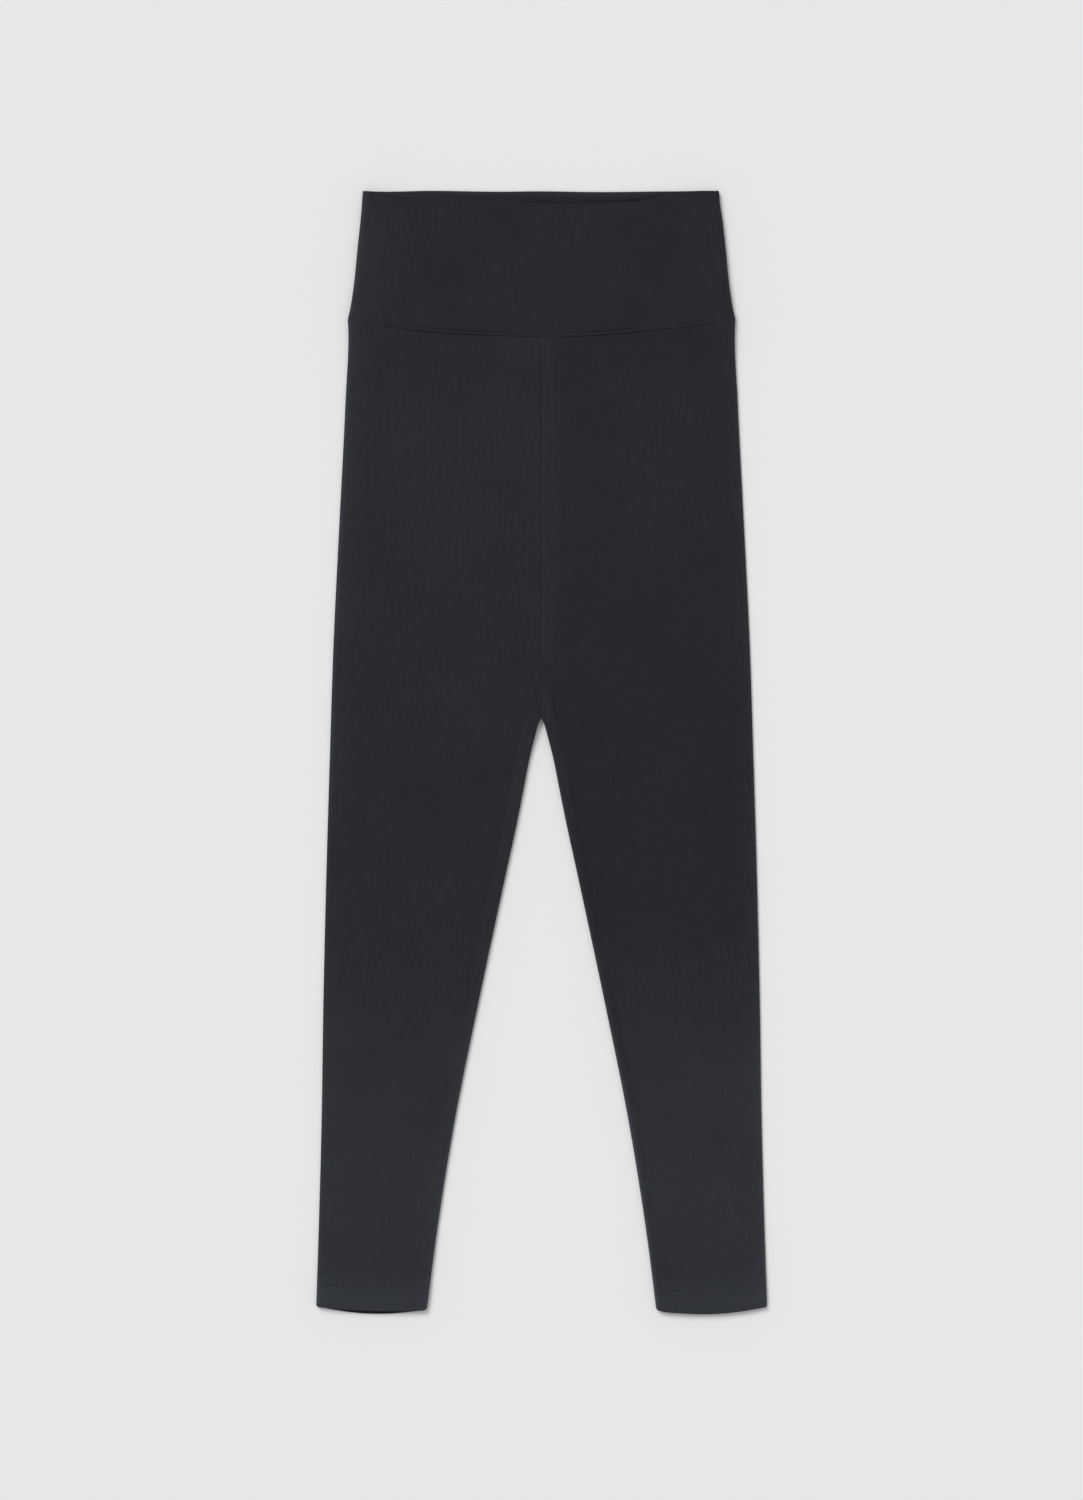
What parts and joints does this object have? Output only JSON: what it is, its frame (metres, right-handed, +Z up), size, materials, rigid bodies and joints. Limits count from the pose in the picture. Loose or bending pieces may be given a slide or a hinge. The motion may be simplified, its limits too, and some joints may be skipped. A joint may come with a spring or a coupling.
{
  "type": "leggings",
  "caption": "High-waist leggings in plain charcoal knit, laid flat: a deep doubled waistband, tapered full-length legs and turned-up hems.",
  "frame": {"origin": "centre of the underside, on the surface that the garment lies on", "axes": "+Y towards the waist, +X to the right as seen from above, +Z up from the surface through the back to the front of the garment"},
  "size_m": [0.3687, 0.9204, 0.0062],
  "materials": {
    "waistband": "matt doubled stretch knit, charcoal",
    "leg": "matt brushed stretch knit, charcoal",
    "thread": "textured polyester sewing thread, charcoal"
  },
  "bodies": {
    "root": {"waistband_front": "waistband", "waistband_back": "waistband", "leg_left": "leg", "leg_right": "leg"}
  },
  "joints": []
}
